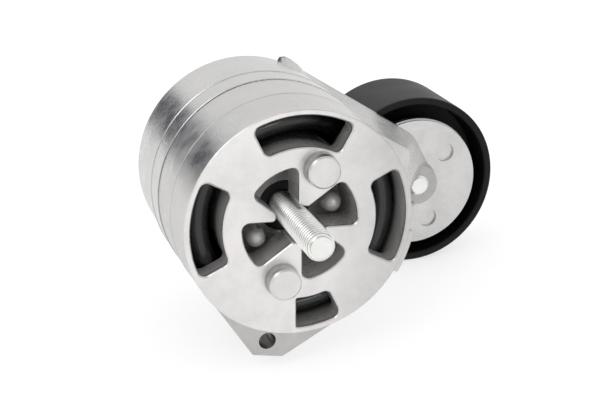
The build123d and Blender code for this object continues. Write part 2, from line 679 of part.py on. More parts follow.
with BuildPart() as pulley:
    revolve(
        section(
            [
                (PULLEY_BORE_R, PULLEY_NEAR + 0.6),
                (PULLEY_BORE_R + 0.6, PULLEY_NEAR),
                (PULLEY_R - 0.9, PULLEY_NEAR),
                (PULLEY_R - 0.25, PULLEY_NEAR + 0.25),
                (PULLEY_R, PULLEY_NEAR + 0.9),
                (PULLEY_R, PULLEY_FAR - 0.9),
                (PULLEY_R - 0.25, PULLEY_FAR - 0.25),
                (PULLEY_R - 0.9, PULLEY_FAR),
                (PULLEY_BORE_R + 0.6, PULLEY_FAR),
                (PULLEY_BORE_R, PULLEY_FAR - 0.6),
                (PULLEY_BORE_R - 0.6, BRG_MID + 4.0),
                (28.5, BRG_MID + 3.0),
                (28.0, HUB_FAR),
                (BRG_OUT_R + FIT, HUB_FAR),
                (BRG_OUT_R + FIT, RING_FAR),
                (24.9, RING_FAR),
                (24.9, RING_NEAR),
                (BRG_OUT_R + FIT, RING_NEAR),
                (BRG_OUT_R + FIT, BRG_NEAR),
                (21.8, BRG_NEAR),
                (21.8, BRG_NEAR - 1.6),
                (28.0, BRG_NEAR - 1.6),
                (28.5, BRG_MID - 3.0),
                (PULLEY_BORE_R - 0.6, BRG_MID - 4.0),
            ],
            PULLEY_CENTRE,
        ),
        axis=PULLEY_AXIS,
    )
pulley.part.label = "pulley"
export_step(pulley.part, "parts/pulley.step")

with BuildPart() as retaining_ring:
    revolve(section(tube(21.9, 24.7, RING_NEAR + 0.02, RING_FAR - 0.1), PULLEY_CENTRE), axis=PULLEY_AXIS)
    with BuildSketch(across(RING_NEAR - 1)):
        with Locations((PULLEY_X, PULLEY_Z - 23.0)):
            Rectangle(9.0, 8.0)
    extrude(amount=-4.0, mode=Mode.SUBTRACT)
retaining_ring.part.label = "retaining_ring"
export_step(retaining_ring.part, "parts/retaining_ring.step")

with BuildPart() as dust_cap:
    revolve(
        section(
            [
                (21.9, RING_FAR + 0.1),
                (BRG_OUT_R, RING_FAR + 0.1),
                (BRG_OUT_R, HUB_FAR),
                (26.5, HUB_FAR),
                (26.5, HUB_FAR + 1.0),
                (26.0, HUB_FAR + 1.5),
                (17.0, HUB_FAR + 1.5),
                (16.2, PULLEY_FAR - 2.2),
                (14.2, PULLEY_FAR - 0.4),
                (0, PULLEY_FAR - 0.4),
                (0, PULLEY_FAR - 1.9),
                (13.6, PULLEY_FAR - 1.9),
                (14.6, PULLEY_FAR - 2.9),
                (15.4, HUB_FAR),
                (21.9, HUB_FAR),
            ],
            PULLEY_CENTRE,
        ),
        axis=PULLEY_AXIS,
    )
dust_cap.part.label = "dust_cap"
export_step(dust_cap.part, "parts/dust_cap.step")
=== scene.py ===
from math import cos, pi, radians, sin, tau

import bmesh
import bpy
from mathutils import Matrix, Vector


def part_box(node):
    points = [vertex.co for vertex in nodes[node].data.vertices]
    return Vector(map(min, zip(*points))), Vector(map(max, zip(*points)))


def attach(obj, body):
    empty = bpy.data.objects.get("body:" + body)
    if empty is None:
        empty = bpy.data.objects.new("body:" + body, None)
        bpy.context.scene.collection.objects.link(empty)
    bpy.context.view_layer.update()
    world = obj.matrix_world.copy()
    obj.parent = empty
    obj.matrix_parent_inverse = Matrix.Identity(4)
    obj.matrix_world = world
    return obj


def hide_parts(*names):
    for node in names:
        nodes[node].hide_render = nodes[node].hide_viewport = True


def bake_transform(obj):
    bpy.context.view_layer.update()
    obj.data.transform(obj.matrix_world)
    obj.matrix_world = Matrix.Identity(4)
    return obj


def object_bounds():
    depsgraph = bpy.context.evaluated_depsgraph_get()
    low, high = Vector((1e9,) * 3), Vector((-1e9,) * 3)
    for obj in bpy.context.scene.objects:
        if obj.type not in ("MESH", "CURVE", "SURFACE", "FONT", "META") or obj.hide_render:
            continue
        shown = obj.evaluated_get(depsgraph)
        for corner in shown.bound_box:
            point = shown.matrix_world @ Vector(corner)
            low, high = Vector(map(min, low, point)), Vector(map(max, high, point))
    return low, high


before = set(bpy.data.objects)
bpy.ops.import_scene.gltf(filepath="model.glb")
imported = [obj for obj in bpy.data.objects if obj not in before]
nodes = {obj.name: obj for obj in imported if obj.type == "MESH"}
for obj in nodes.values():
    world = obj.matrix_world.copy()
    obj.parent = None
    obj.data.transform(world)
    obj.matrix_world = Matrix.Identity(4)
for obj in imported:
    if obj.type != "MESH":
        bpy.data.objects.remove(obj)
cad_low, cad_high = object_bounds()
scene = bpy.context.scene
MM = 0.001

# sizes of the castings and the bolts that their boxes don't give
SPACE_R = 45.2 * MM             # just outside the spring space and the windows
SPACE_IN_R = 31.0 * MM          # just inside the inner wall of the spring space
SPACE_NEAR = 8.0 * MM           # near and far end of the spring space
SPACE_FAR = 88.0 * MM
BEVEL_END = 0.3 * MM            # the bevels round the openings end behind this depth
DRUM_WALL_R = 47.2 * MM         # outside this radius lies the drum's own wall
DRUM_R = 49.6 * MM              # outside this radius lies the arm's web
BOSS_PITCH_R = 24.1 * MM        # the two locating bosses: their place, radius and height
BOSS_ANGLES = (70.5, 250.5)
BOSS_R = 6.75 * MM
BOSS_TOP = -6.0 * MM
LUG_HOLE = (-14.0 * MM, -49.5 * MM)
LUG_HOLE_R = 3.6 * MM
DISC_NEAR = 89.2 * MM           # near face of the dust-shield disc
POCKET_R = 11.0 * MM            # pocket round the pulley bolt's end
TREAD_R = 41.2 * MM             # just inside the pulley's tread
BOLT_R = 6.0 * MM               # mounting bolt
THREAD_PITCH = 1.93 * MM
THREAD_END = 40.0 * MM
FLANGE_R = 12.2 * MM
HEAD_WIDTH = 18.0 * MM
SHADED_FROM = 21.0 * MM         # painted shade darkens the mounting bolt between these depths, inside the tensioner
SHADED_TO = 90.0 * MM
WIRE_R = 4.5 * MM               # torsion spring
COIL_START = 13.8 * MM
COIL_END = 81.2 * MM
COIL_TURNS = 6.4
COIL_ANGLE = 50.0               # direction of the wire's first end


# ================= camera =================

AZIMUTH, ELEVATION = radians(-17.72), radians(19.99)
DISTANCE = 0.5199
SIDEWAYS, UPWARDS = -0.0004, 0.0098  # shift of the camera from the line through the origin
LENS, SENSOR = 78.63, 36.0
back = Vector((sin(AZIMUTH) * cos(ELEVATION), -cos(AZIMUTH) * cos(ELEVATION), sin(ELEVATION)))
right = Vector((cos(AZIMUTH), sin(AZIMUTH), 0))
up = back.cross(right)
camera_data = bpy.data.cameras.new("camera")
camera_data.lens = LENS
camera_data.sensor_width = SENSOR
camera_data.clip_start = 0.01
camera_data.clip_end = 100.0
camera = bpy.data.objects.new("camera", camera_data)
scene.collection.objects.link(camera)
axes = Matrix((right, up, back)).transposed()
stand = back * DISTANCE + right * SIDEWAYS + up * UPWARDS
camera.matrix_world = Matrix.Translation(stand) @ axes.to_4x4()
scene.camera = camera
scene.view_settings.view_transform = "Standard"
scene.view_settings.look = "None"


# ================= node helpers =================

class Tree:
    """A node tree that is written as nested calls."""

    def __init__(self, tree):
        self.tree = tree
        tree.nodes.clear()

    def add(self, kind, inputs=None, **settings):
        node = self.tree.nodes.new(kind)
        for key, value in settings.items():
            setattr(node, key, value)
        for key, value in (inputs or {}).items():
            self.set(node.inputs[key], value)
        return node

    def set(self, socket, value):
        if isinstance(value, bpy.types.NodeSocket):
            self.tree.links.new(value, socket)
        else:
            socket.default_value = value

    def math(self, operation, a, b=0.5, clamp=False):
        return self.add("ShaderNodeMath", {0: a, 1: b}, operation=operation, use_clamp=clamp).outputs[0]

    def times(self, a, b):
        return self.math("MULTIPLY", a, b)

    def most(self, a, b):
        return self.math("MAXIMUM", a, b)

    def span(self, value, from_low, from_high, to_low=0.0, to_high=1.0, smooth=False):
        kind = "SMOOTHSTEP" if smooth else "LINEAR"
        node = self.add(
            "ShaderNodeMapRange",
            {0: value, 1: from_low, 2: from_high, 3: to_low, 4: to_high},
            interpolation_type=kind,
        )
        return node.outputs[0]

    def noise(self, vector, scale, detail=3.0, rough=0.55, distortion=0.0):
        inputs = {"Vector": vector, "Scale": scale, "Detail": detail, "Roughness": rough}
        inputs["Distortion"] = distortion
        return self.add("ShaderNodeTexNoise", inputs).outputs["Fac"]

    def mapped(self, vector, scale=(1, 1, 1), shift=(0, 0, 0), turn=(0, 0, 0)):
        inputs = {"Vector": vector, "Location": shift, "Rotation": turn, "Scale": scale}
        return self.add("ShaderNodeMapping", inputs).outputs[0]

    def mix(self, fac, a, b):
        node = self.add("ShaderNodeMix", data_type="RGBA")
        self.set(node.inputs[0], fac)
        self.set(node.inputs[6], a)
        self.set(node.inputs[7], b)
        return node.outputs[2]

    def bump(self, height, strength, distance, normal=None):
        inputs = {"Height": height, "Strength": strength, "Distance": distance}
        if normal is not None:
            inputs["Normal"] = normal
        return self.add("ShaderNodeBump", inputs).outputs[0]


def new_material(name):
    """A material with its tree, its shader and the point on the object that is being shaded."""
    material = bpy.data.materials.new(name)
    material.use_nodes = True
    tree = Tree(material.node_tree)
    shader = tree.add("ShaderNodeBsdfPrincipled")
    output = tree.add("ShaderNodeOutputMaterial")
    tree.tree.links.new(shader.outputs[0], output.inputs[0])
    place = tree.add("ShaderNodeTexCoord").outputs["Object"]
    return material, tree, shader, place


def grey(value):
    return (value, value, value, 1.0)


# ================= materials =================

PAINTED_SHADE_DARK = (0.040, 0.039, 0.036, 1)  # the dark that painted shade mixes the castings' colour towards, in hollows and on shaded sides; the pocket round the pulley bolt and the disc are darkened towards it too


def radius_of(t, place, centre_x=0.0, centre_z=0.0):
    """Distance from an axis along Y, and the depth along it."""
    split = t.add("ShaderNodeSeparateXYZ", {0: place})
    x = t.math("SUBTRACT", split.outputs[0], centre_x)
    z = t.math("SUBTRACT", split.outputs[2], centre_z)
    radius = t.math("SQRT", t.math("ADD", t.times(x, x), t.times(z, z)))
    return radius, split.outputs[1]


def case_zones(t, place):
    """The base half: painted shade in its hollows and on its sides, and how dull and how scratched it is at
    each place.
    """
    radius, depth = radius_of(t, place)
    # painted shade in the hollows: the windows and the star cavity darker with depth, the spring space behind
    # the windows darker still
    inside = t.times(t.span(radius, SPACE_R + 0.4 * MM, SPACE_R), t.span(depth, 0.5 * MM, 2.5 * MM))
    shade = t.times(inside, t.span(depth, 1.0 * MM, 36.0 * MM, 0.22, 0.72))
    chamber = t.times(t.span(radius, SPACE_IN_R, SPACE_IN_R + 0.5 * MM), t.span(depth, SPACE_NEAR, 14.0 * MM))
    shade = t.most(shade, t.times(t.times(inside, chamber), 0.88))
    # painted shade: a darker ring on the side of each locating boss and round its foot
    for angle in BOSS_ANGLES:
        boss_x, boss_z = BOSS_PITCH_R * cos(radians(angle)), BOSS_PITCH_R * sin(radians(angle))
        off, depth = radius_of(t, place, boss_x, boss_z)
        side = t.span(off, BOSS_R - 0.45 * MM, BOSS_R - 0.15 * MM)
        side = t.times(side, t.span(off, BOSS_R + 0.85 * MM, BOSS_R + 0.15 * MM))
        side = t.times(side, t.span(depth, 0.2 * MM, 0.1 * MM))
        side = t.times(side, t.span(depth, BOSS_TOP + 0.2 * MM, BOSS_TOP + 1.0 * MM))
        shade = t.most(shade, t.times(side, 0.38))
    # painted shade inside the lug hole, darker deeper in
    off, depth = radius_of(t, place, *LUG_HOLE)
    hole = t.span(off, LUG_HOLE_R + 0.3 * MM, LUG_HOLE_R + 0.1 * MM)
    shade = t.most(shade, t.times(hole, t.span(depth, 1.2 * MM, 3.0 * MM, 0.3, 0.7)))
    # painted shade: the drum's wall darker all round and more so low down, and the face darker towards the
    # arm; the bosses' tops are a little darker
    wall = t.times(t.span(radius, DRUM_WALL_R, DRUM_WALL_R + 0.2 * MM), t.span(depth, BEVEL_END, 0.8 * MM))
    split = t.add("ShaderNodeSeparateXYZ", {0: place})
    painted_low_shade = t.span(split.outputs[2], 30.0 * MM, -20.0 * MM, 0.13, 0.36)
    shade = t.most(shade, t.times(wall, painted_low_shade))
    face_shade_and_tread_tone = t.span(split.outputs[0], 8.0 * MM, 42.0 * MM, 0.0, 0.28)
    face_shade_and_tread_tone = t.times(face_shade_and_tread_tone, t.span(depth, 1.0 * MM, 0.4 * MM))
    face_shade_and_tread_tone = t.math("ADD", face_shade_and_tread_tone, t.span(depth, BOSS_TOP + 1.0 * MM, BOSS_TOP + 0.2 * MM, 0.0, 0.10))
    shade = t.most(shade, face_shade_and_tread_tone)
    return shade, t.times(inside, 0.55), t.span(depth, BEVEL_END, 1.2 * MM, 0.25, 1.0)


def arm_zones(t, place):
    """The same for the arm: painted shade inside the spring space, on the web's sides and low on the drum's
    wall; darker in the pocket round the pulley bolt and on the disc.
    """
    radius, depth = radius_of(t, place)
    inside = t.span(radius, SPACE_R + 0.4 * MM, SPACE_R)
    inside = t.times(inside, t.span(depth, SPACE_FAR, SPACE_FAR - 1.0 * MM))
    web = t.span(radius, DRUM_R, DRUM_R + 1.4 * MM)
    web = t.times(web, t.span(depth, DISC_NEAR - 0.05 * MM, DISC_NEAR - 0.2 * MM))
    off, depth = radius_of(t, place, pulley_centre.x, pulley_centre.z)
    pocket = t.span(off, POCKET_R + 0.4 * MM, POCKET_R)
    pocket = t.times(pocket, t.span(depth, DISC_NEAR + 0.1 * MM, DISC_NEAR - 0.2 * MM))
    # painted shade on the web's sides, darker towards the disc, with a painted dark crease line just before
    # it
    side = t.span(depth, 70.0 * MM, SPACE_FAR, 0.02, 0.15)
    side = t.math("ADD", side, t.span(depth, SPACE_FAR, SPACE_FAR + 0.8 * MM, 0.0, 0.22))
    # painted shade inside the spring space; the pocket round the pulley bolt is darker
    shade = t.most(t.times(inside, 0.9), t.times(pocket, 0.36))
    split = t.add("ShaderNodeSeparateXYZ", {0: place})
    # painted shade: the drum's wall darker low down
    wall = t.times(t.span(radius, DRUM_R, DRUM_R - 0.4 * MM), t.span(radius, 46.0 * MM, 46.5 * MM))
    wall = t.times(wall, t.span(split.outputs[2], 30.0 * MM, -30.0 * MM, 0.0, 0.27))
    shade = t.most(shade, wall)
    shade = t.most(shade, t.times(web, side))
    shade = t.most(shade, t.times(t.span(depth, DISC_NEAR - 0.2 * MM, DISC_NEAR), 0.10))
    dull = t.most(t.times(inside, 0.6), t.times(web, 0.75))
    return shade, dull, t.span(radius, 55.0 * MM, 49.0 * MM, 0.45, 1.0)


def cast_metal(name, light, dark, rough, zones, grain, scratch):
    """Die-cast aluminium: blotchy satin skin, fine grain, pits, stains and thin scratches, with painted shade
    from its zones.
    """
    material, t, shader, place = new_material(name)
    shade, dull, marked = zones(t, place)
    blotch = t.noise(place, 38.0, 4.0, 0.6, 0.6)
    cloud = t.noise(t.mapped(place, shift=(3.1, 1.7, 5.9)), 120.0, 5.0, 0.62)
    skin = t.noise(place, 900.0, 3.0, 0.6)
    fine = t.noise(place, 2600.0, 2.0, 0.6)
    tone = t.math("ADD", t.times(blotch, 0.55), t.times(cloud, 0.45))
    tone = t.span(tone, 0.36, 0.64, smooth=True)
    colour = t.mix(tone, dark, light)
    # faint warm and cool stains
    warm = t.span(t.noise(t.mapped(place, shift=(7, 3, 2)), 62.0, 4.0, 0.6, 0.8), 0.50, 0.66, smooth=True)
    warm_tone = (light[0], light[1] * 0.93, light[2] * 0.93, 1)
    colour = t.mix(t.times(warm, 0.35), colour, warm_tone)
    cool = t.span(t.noise(t.mapped(place, shift=(1, 6, 8)), 48.0, 4.0, 0.6, 0.8), 0.52, 0.68, smooth=True)
    cool_tone = (dark[0] * 0.92, dark[1] * 0.97, dark[2] * 0.95, 1)
    colour = t.mix(t.times(cool, 0.30), colour, cool_tone)
    # small dark pits and specks
    pits = t.add("ShaderNodeTexVoronoi", {"Vector": place, "Scale": 420.0}).outputs["Distance"]
    pit = t.span(pits, 0.05, 0.16, 1.0, 0.0)
    rare = t.span(t.noise(t.mapped(place, shift=(9, 2, 4)), 90.0, 2.0), 0.62, 0.70)
    pit = t.times(pit, rare)
    colour = t.mix(t.times(pit, 0.5), colour, (0.20, 0.19, 0.18, 1))
    # scratches in two directions
    lines = t.noise(t.mapped(place, (60, 2600, 180), turn=(0.3, 0.5, 0.2)), 1.0, 1.0, 0.4)
    lines_b = t.noise(t.mapped(place, (2400, 90, 160), turn=(0.1, 0.9, -0.4)), 1.0, 1.0, 0.4)
    where = t.span(t.noise(t.mapped(place, shift=(2, 8, 1)), 45.0, 2.0), 0.5, 0.62)
    mark = t.most(t.span(lines, 0.655, 0.70), t.span(lines_b, 0.66, 0.71))
    mark = t.times(t.times(mark, where), t.times(marked, scratch))
    colour = t.mix(t.times(mark, 0.5), colour, grey(0.92))
    # painted shade: the zones darken the colour in hollows and on shaded sides
    colour = t.mix(shade, colour, PAINTED_SHADE_DARK)
    t.set(shader.inputs["Base Color"], colour)
    t.set(shader.inputs["Metallic"], t.math("SUBTRACT", 1.0, dull))
    rough_map = t.span(cloud, 0.3, 0.7, rough - 0.08, rough + 0.10)
    rough_map = t.math("ADD", rough_map, t.span(blotch, 0.35, 0.65, -0.05, 0.06))
    rough_map = t.math("ADD", rough_map, t.times(t.math("SUBTRACT", skin, 0.5), 0.12 * grain))
    rough_map = t.math("SUBTRACT", rough_map, t.times(mark, 0.12), clamp=True)
    t.set(shader.inputs["Roughness"], rough_map)
    height = t.math("ADD", t.times(skin, 0.6), t.times(fine, 0.25))
    height = t.math("SUBTRACT", height, t.times(pit, 1.5))
    height = t.math("SUBTRACT", height, t.times(mark, 0.4))
    wave = t.noise(place, 110.0, 2.0)
    first = t.bump(wave, 0.12 * grain, 1.2 * MM)
    t.set(shader.inputs["Normal"], t.bump(height, 0.5 * grain, 0.12 * MM, first))
    return material


def plated_zinc(name, crest, root, tip, centre_x=0.0, centre_z=0.0, shaded=None):
    """Bright zinc plate: painted shade in the thread's roots, a sawn tip, and painted shade along the stretch
    inside the tensioner.
    """
    material, t, shader, place = new_material(name)
    cloud = t.noise(place, 300.0, 4.0, 0.6)
    fine = t.noise(place, 2600.0, 2.0)
    colour = t.mix(t.span(cloud, 0.35, 0.65), (0.88, 0.89, 0.86, 1), (0.97, 0.98, 0.95, 1))
    dirt = t.span(t.noise(t.mapped(place, shift=(4, 4, 4)), 900.0, 3.0), 0.62, 0.75)
    colour = t.mix(t.times(dirt, 0.25), colour, (0.40, 0.39, 0.35, 1))
    radius, depth = radius_of(t, place, centre_x, centre_z)
    # painted shade in the thread's roots
    painted_root_shade = t.times(t.span(radius, crest, root), t.span(radius, root - 0.2 * MM, root - 0.1 * MM))
    painted_root_shade = t.times(painted_root_shade, t.span(depth, tip + 0.6 * MM, tip + 1.4 * MM))
    colour = t.mix(t.times(painted_root_shade, 0.62), colour, (0.03, 0.029, 0.026, 1))
    colour = t.mix(t.span(depth, tip + 0.4 * MM, tip + 0.1 * MM, 0.0, 0.35), colour, (0.55, 0.55, 0.53, 1))
    if shaded:
        near, far = shaded
        # painted shade along the bolt inside the tensioner
        inner = t.times(t.span(depth, near, near + 8.0 * MM, 0.0, 0.9), t.span(depth, far, far - 4.0 * MM))
        colour = t.mix(inner, colour, (0.10, 0.098, 0.09, 1))
    t.set(shader.inputs["Base Color"], colour)
    shader.inputs["Metallic"].default_value = 1.0
    t.set(shader.inputs["Roughness"], t.span(cloud, 0.3, 0.7, 0.24, 0.38))
    t.set(shader.inputs["Normal"], t.bump(fine, 0.25, 0.08 * MM))
    return material


def coated_black(name):
    """Black coated spring wire with faint drawing lines."""
    material, t, shader, place = new_material(name)
    cloud = t.noise(place, 90.0, 4.0, 0.6)
    lines = t.noise(t.mapped(place, (400, 60, 400)), 3.0, 2.0)
    colour = t.mix(t.span(cloud, 0.35, 0.65), (0.004, 0.0042, 0.0045, 1), (0.011, 0.0115, 0.012, 1))
    t.set(shader.inputs["Base Color"], colour)
    t.set(shader.inputs["Roughness"], t.span(cloud, 0.3, 0.7, 0.17, 0.30))
    shader.inputs["Specular IOR Level"].default_value = 0.55
    t.set(shader.inputs["Normal"], t.bump(lines, 0.12, 0.2 * MM))
    return material


def dark_rim(name, centre_x, centre_z):
    """Dark satin rim of the idler, finely turned around its own axis."""
    material, t, shader, place = new_material(name)
    cloud = t.noise(place, 60.0, 4.0, 0.6)
    grit = t.noise(place, 1500.0, 3.0)
    radius, depth = radius_of(t, place, centre_x, centre_z)
    turned = t.add("ShaderNodeCombineXYZ", {0: t.times(radius, 9.0), 1: t.times(depth, 9.0)})
    rings = t.noise(turned.outputs[0], 420.0, 3.0, 0.6)
    colour = t.mix(t.span(cloud, 0.3, 0.7), (0.0025, 0.0025, 0.0027, 1), (0.005, 0.005, 0.0054, 1))
    # the tread is lighter than the rim's face and inside
    tread = t.span(radius, TREAD_R - 0.3 * MM, TREAD_R)
    face_shade_and_tread_tone = t.mix(t.span(cloud, 0.3, 0.7), (0.028, 0.028, 0.0285, 1), (0.038, 0.038, 0.039, 1))
    t.set(shader.inputs["Base Color"], t.mix(tread, colour, face_shade_and_tread_tone))
    rough = t.math("ADD", t.span(cloud, 0.3, 0.7, 0.42, 0.54), t.times(t.math("SUBTRACT", grit, 0.5), 0.1))
    t.set(shader.inputs["Roughness"], rough)
    shader.inputs["Specular IOR Level"].default_value = 0.20
    height = t.math("ADD", t.times(rings, 0.7), t.times(grit, 0.3))
    t.set(shader.inputs["Normal"], t.bump(height, 0.25, 0.08 * MM))
    return material


def simple_metal(name, colour, rough):
    """Ground or turned metal: cloudy tone and gloss, and a fine grain."""
    material, t, shader, place = new_material(name)
    cloud = t.noise(place, 150.0, 4.0, 0.6)
    fine = t.noise(place, 2000.0, 2.0)
    darker = tuple(c * 0.82 for c in colour[:3]) + (1,)
    t.set(shader.inputs["Base Color"], t.mix(t.span(cloud, 0.35, 0.65), darker, colour))
    shader.inputs["Metallic"].default_value = 1.0
    t.set(shader.inputs["Roughness"], t.span(cloud, 0.3, 0.7, rough - 0.05, rough + 0.08))
    t.set(shader.inputs["Normal"], t.bump(fine, 0.2, 0.05 * MM))
    return material


def moulded(name, colour, rough, specular=0.5):
    """Moulded plastic or rubber with a faint grain."""
    material, t, shader, place = new_material(name)
    cloud = t.noise(place, 140.0, 4.0, 0.6)
    fine = t.noise(place, 2200.0, 2.0)
    darker = tuple(c * 0.75 for c in colour[:3]) + (1,)
    t.set(shader.inputs["Base Color"], t.mix(t.span(cloud, 0.35, 0.65), darker, colour))
    t.set(shader.inputs["Roughness"], t.span(cloud, 0.3, 0.7, rough - 0.06, rough + 0.08))
    shader.inputs["Specular IOR Level"].default_value = specular
    t.set(shader.inputs["Normal"], t.bump(fine, 0.3, 0.06 * MM))
    return material


pulley_low, pulley_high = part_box("pulley")
pulley_centre = (pulley_low + pulley_high) / 2

case_cast = cast_metal(
    "case_cast", (0.79, 0.775, 0.765, 1), (0.67, 0.66, 0.655, 1), 0.32, case_zones, grain=1.0, scratch=0.7
)
arm_cast = cast_metal(
    "arm_cast", (0.68, 0.672, 0.668, 1), (0.58, 0.575, 0.57, 1), 0.26, arm_zones, grain=0.8, scratch=0.8
)
bolt_low, bolt_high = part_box("centre_bolt")
pulley_bolt_low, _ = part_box("pulley_bolt")
zinc = plated_zinc(
    "zinc_plate", BOLT_R - 0.26 * MM, BOLT_R - 0.62 * MM, bolt_low.y, shaded=(SHADED_FROM, SHADED_TO)
)
bright_zinc = plated_zinc(
    "bright_zinc", 4.9 * MM, 4.4 * MM, pulley_bolt_low.y, pulley_centre.x, pulley_centre.z
)
wire_black = coated_black("wire_black")
rim_black = dark_rim("rim_black", pulley_centre.x, pulley_centre.z)
ground_steel = simple_metal("ground_steel", (0.60, 0.60, 0.61, 1), 0.30)
black_steel = simple_metal("black_steel", (0.030, 0.030, 0.032, 1), 0.45)
bearing_steel = simple_metal("bearing_steel", (0.74, 0.74, 0.76, 1), 0.16)
bronze = simple_metal("bronze", (0.50, 0.38, 0.22, 1), 0.42)
nylon = moulded("nylon", (0.075, 0.075, 0.08, 1), 0.55)
rubber = moulded("rubber", (0.028, 0.028, 0.028, 1), 0.62, 0.35)
cap_black = moulded("cap_black", (0.030, 0.030, 0.033, 1), 0.38)

FINISH = {
    "base_housing": case_cast,
    "tensioner_arm": arm_cast,
    "centre_bolt": zinc,
    "pulley_bolt": bright_zinc,
    "bolt_washer": bright_zinc,
    "torsion_spring": wire_black,
    "pulley": rim_black,
    "pivot_tube": black_steel,
    "front_plate": ground_steel,
    "bearing_spacer": ground_steel,
    "bearing_washer": ground_steel,
    "retaining_ring": ground_steel,
    "bearing_inner_ring": bearing_steel,
    "bearing_outer_ring": bearing_steel,
    "bearing_balls": bearing_steel,
    "rear_bushing": bronze,
    "front_bushing": bronze,
    "damping_sleeve": nylon,
    "rear_thrust_washer": nylon,
    "front_thrust_washer": nylon,
    "ball_cage": nylon,
    "near_seal": rubber,
    "far_seal": rubber,
    "dust_cap": cap_black,
}
for name, node in nodes.items():
    for slot in node.material_slots:
        slot.material = FINISH[name]
    if not node.material_slots:
        node.data.materials.append(FINISH[name])


# ================= pieces with more detail than their CAD solids =================

def new_piece(name, points, faces, material):
    """A smooth-shaded piece from its points and faces."""
    mesh = bpy.data.meshes.new(name)
    mesh.from_pydata(points, [], faces)
    mesh.validate()
    mesh.polygons.foreach_set("use_smooth", [True] * len(mesh.polygons))
    mesh.materials.append(material)
    mesh.update()
    piece = bpy.data.objects.new(name, mesh)
    scene.collection.objects.link(piece)
    return piece


def close_mesh(mesh):
    """Joins points that lie on each other, drops the faces that collapse, and caps the open ends."""
    closest = 0.004 * MM
    work = bmesh.new()
    work.from_mesh(mesh)
    bmesh.ops.remove_doubles(work, verts=work.verts, dist=closest)
    bmesh.ops.dissolve_degenerate(work, dist=closest, edges=work.edges)
    open_edges = [edge for edge in work.edges if edge.is_boundary]
    bmesh.ops.holes_fill(work, edges=open_edges, sides=0)
    for face in work.faces:
        face.smooth = True
    work.to_mesh(mesh)
    work.free()


def threaded_bolt(name, tip, head_start, head_end):
    """The mounting bolt along Y: a rolled thread with a chamfered tip, a waist, a flange and a hex head."""
    segments = 72
    height = 0.58 * THREAD_PITCH
    tip_r = BOLT_R - 1.6 * MM
    half_width = HEAD_WIDTH / 2
    # one pitch of the thread: share of the pitch, and share of the height below the crest
    profile = [(0.0, 1.0), (0.08, 0.98), (0.34, 0.08), (0.40, 0.0), (0.60, 0.0), (0.66, 0.08), (0.92, 0.98)]
    rows = len(profile)
    turns = int((THREAD_END - tip) / THREAD_PITCH) + 1
    run_out_length = 2.0 * THREAD_PITCH
    points, faces = [], []
    for turn in range(turns):
        for s in range(segments):
            angle = tau * s / segments
            for share, low in profile:
                y = tip + THREAD_PITCH * (turn + s / segments + share - 1.0)
                run_out = max(0.0, (y - (THREAD_END - run_out_length)) / run_out_length)
                r = BOLT_R - height * max(low, min(1.0, run_out))
                # the first turn is cut off by the chamfer, just behind the flat tip
                y = max(tip + 0.06 * MM, y)
                r = min(r, tip_r + (y - tip))
                points.append((r * cos(angle), y, -r * sin(angle)))
    total = turns * segments
    for i in range(total - 1):
        for k in range(rows - 1):
            a = i * rows + k
            faces.append((a, a + 1, a + rows + 1, a + rows))
    # the last profile point of a turn joins the first one of the next turn
    for i in range(total - segments - 1):
        a, b = i * rows + rows - 1, (i + segments) * rows
        faces.append((a, b, b + rows, a + rows))

    def ring(y, r):
        first = len(points)
        for s in range(segments):
            angle = tau * s / segments
            points.append((r * cos(angle), y, -r * sin(angle)))
        return list(range(first, first + segments))

    def skin(a, b):
        for s in range(segments):
            n = (s + 1) % segments
            faces.append((a[s], a[n], b[n], b[s]))

    # tip: flat end with a broken edge
    tip_rings = [
        ring(tip + 0.3 * MM, tip_r + 0.3 * MM),
        ring(tip + 0.05 * MM, tip_r + 0.05 * MM),
        ring(tip, tip_r - 0.2 * MM),
        ring(tip, 1.0 * MM),
    ]
    for a, b in zip(tip_rings, tip_rings[1:]):
        skin(a, b)
    faces.append(tuple(reversed(tip_rings[-1])))
    # waist, flange and washer face
    waist = BOLT_R - height
    lathe = [
        (THREAD_END - 3.0 * THREAD_PITCH, waist),
        (head_start - 4.0 * MM, waist),
        (head_start - 3.0 * MM, BOLT_R),
        (head_start, BOLT_R),
        (head_start, FLANGE_R - 0.5 * MM),
        (head_start + 0.3 * MM, FLANGE_R),
        (head_start + 1.0 * MM, FLANGE_R),
        (head_start + 1.5 * MM, FLANGE_R - 0.6 * MM),
        (head_start + 2.8 * MM, half_width + 0.2 * MM),
        (head_start + 2.9 * MM, half_width - 1.0 * MM),
    ]
    rings = [ring(y, r) for y, r in lathe]
    for a, b in zip(rings, rings[1:]):
        skin(b, a)
    # hexagon with a turned chamfer: its corners are cut by a cone, from this far inside them
    corner = half_width / cos(pi / 6)
    levels = [
        (head_start + 2.0 * MM, None),
        (head_end - 1.6 * MM, 0.0),
        (head_end - 0.9 * MM, 0.49 * MM),
        (head_end, 1.82 * MM),
    ]
    hexagon = []
    for y, cut in levels:
        first = len(points)
        for s in range(segments):
            angle = tau * s / segments
            off = (angle % (pi / 3)) - pi / 6
            r = half_width / cos(off)
            if cut is not None:
                r = min(r, corner - cut)
            points.append((r * cos(angle), y, -r * sin(angle)))
        hexagon.append(list(range(first, first + segments)))
    for a, b in zip(hexagon, hexagon[1:]):
        skin(b, a)
    dish_edge = ring(head_end, half_width - 2.0 * MM)
    dish = ring(head_end - 0.35 * MM, half_width - 2.8 * MM)
    skin(dish_edge, hexagon[-1])
    skin(dish, dish_edge)
    faces.append(tuple(dish))
    made = new_piece(name, points, faces, zinc)
    close_mesh(made.data)
    made.data.set_sharp_from_angle(angle=radians(32))
    return made


_, washer_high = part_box("bolt_washer")
bolt = threaded_bolt("mounting_bolt", bolt_low.y, washer_high.y, bolt_high.y)
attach(bolt, "case")
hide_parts("centre_bolt")


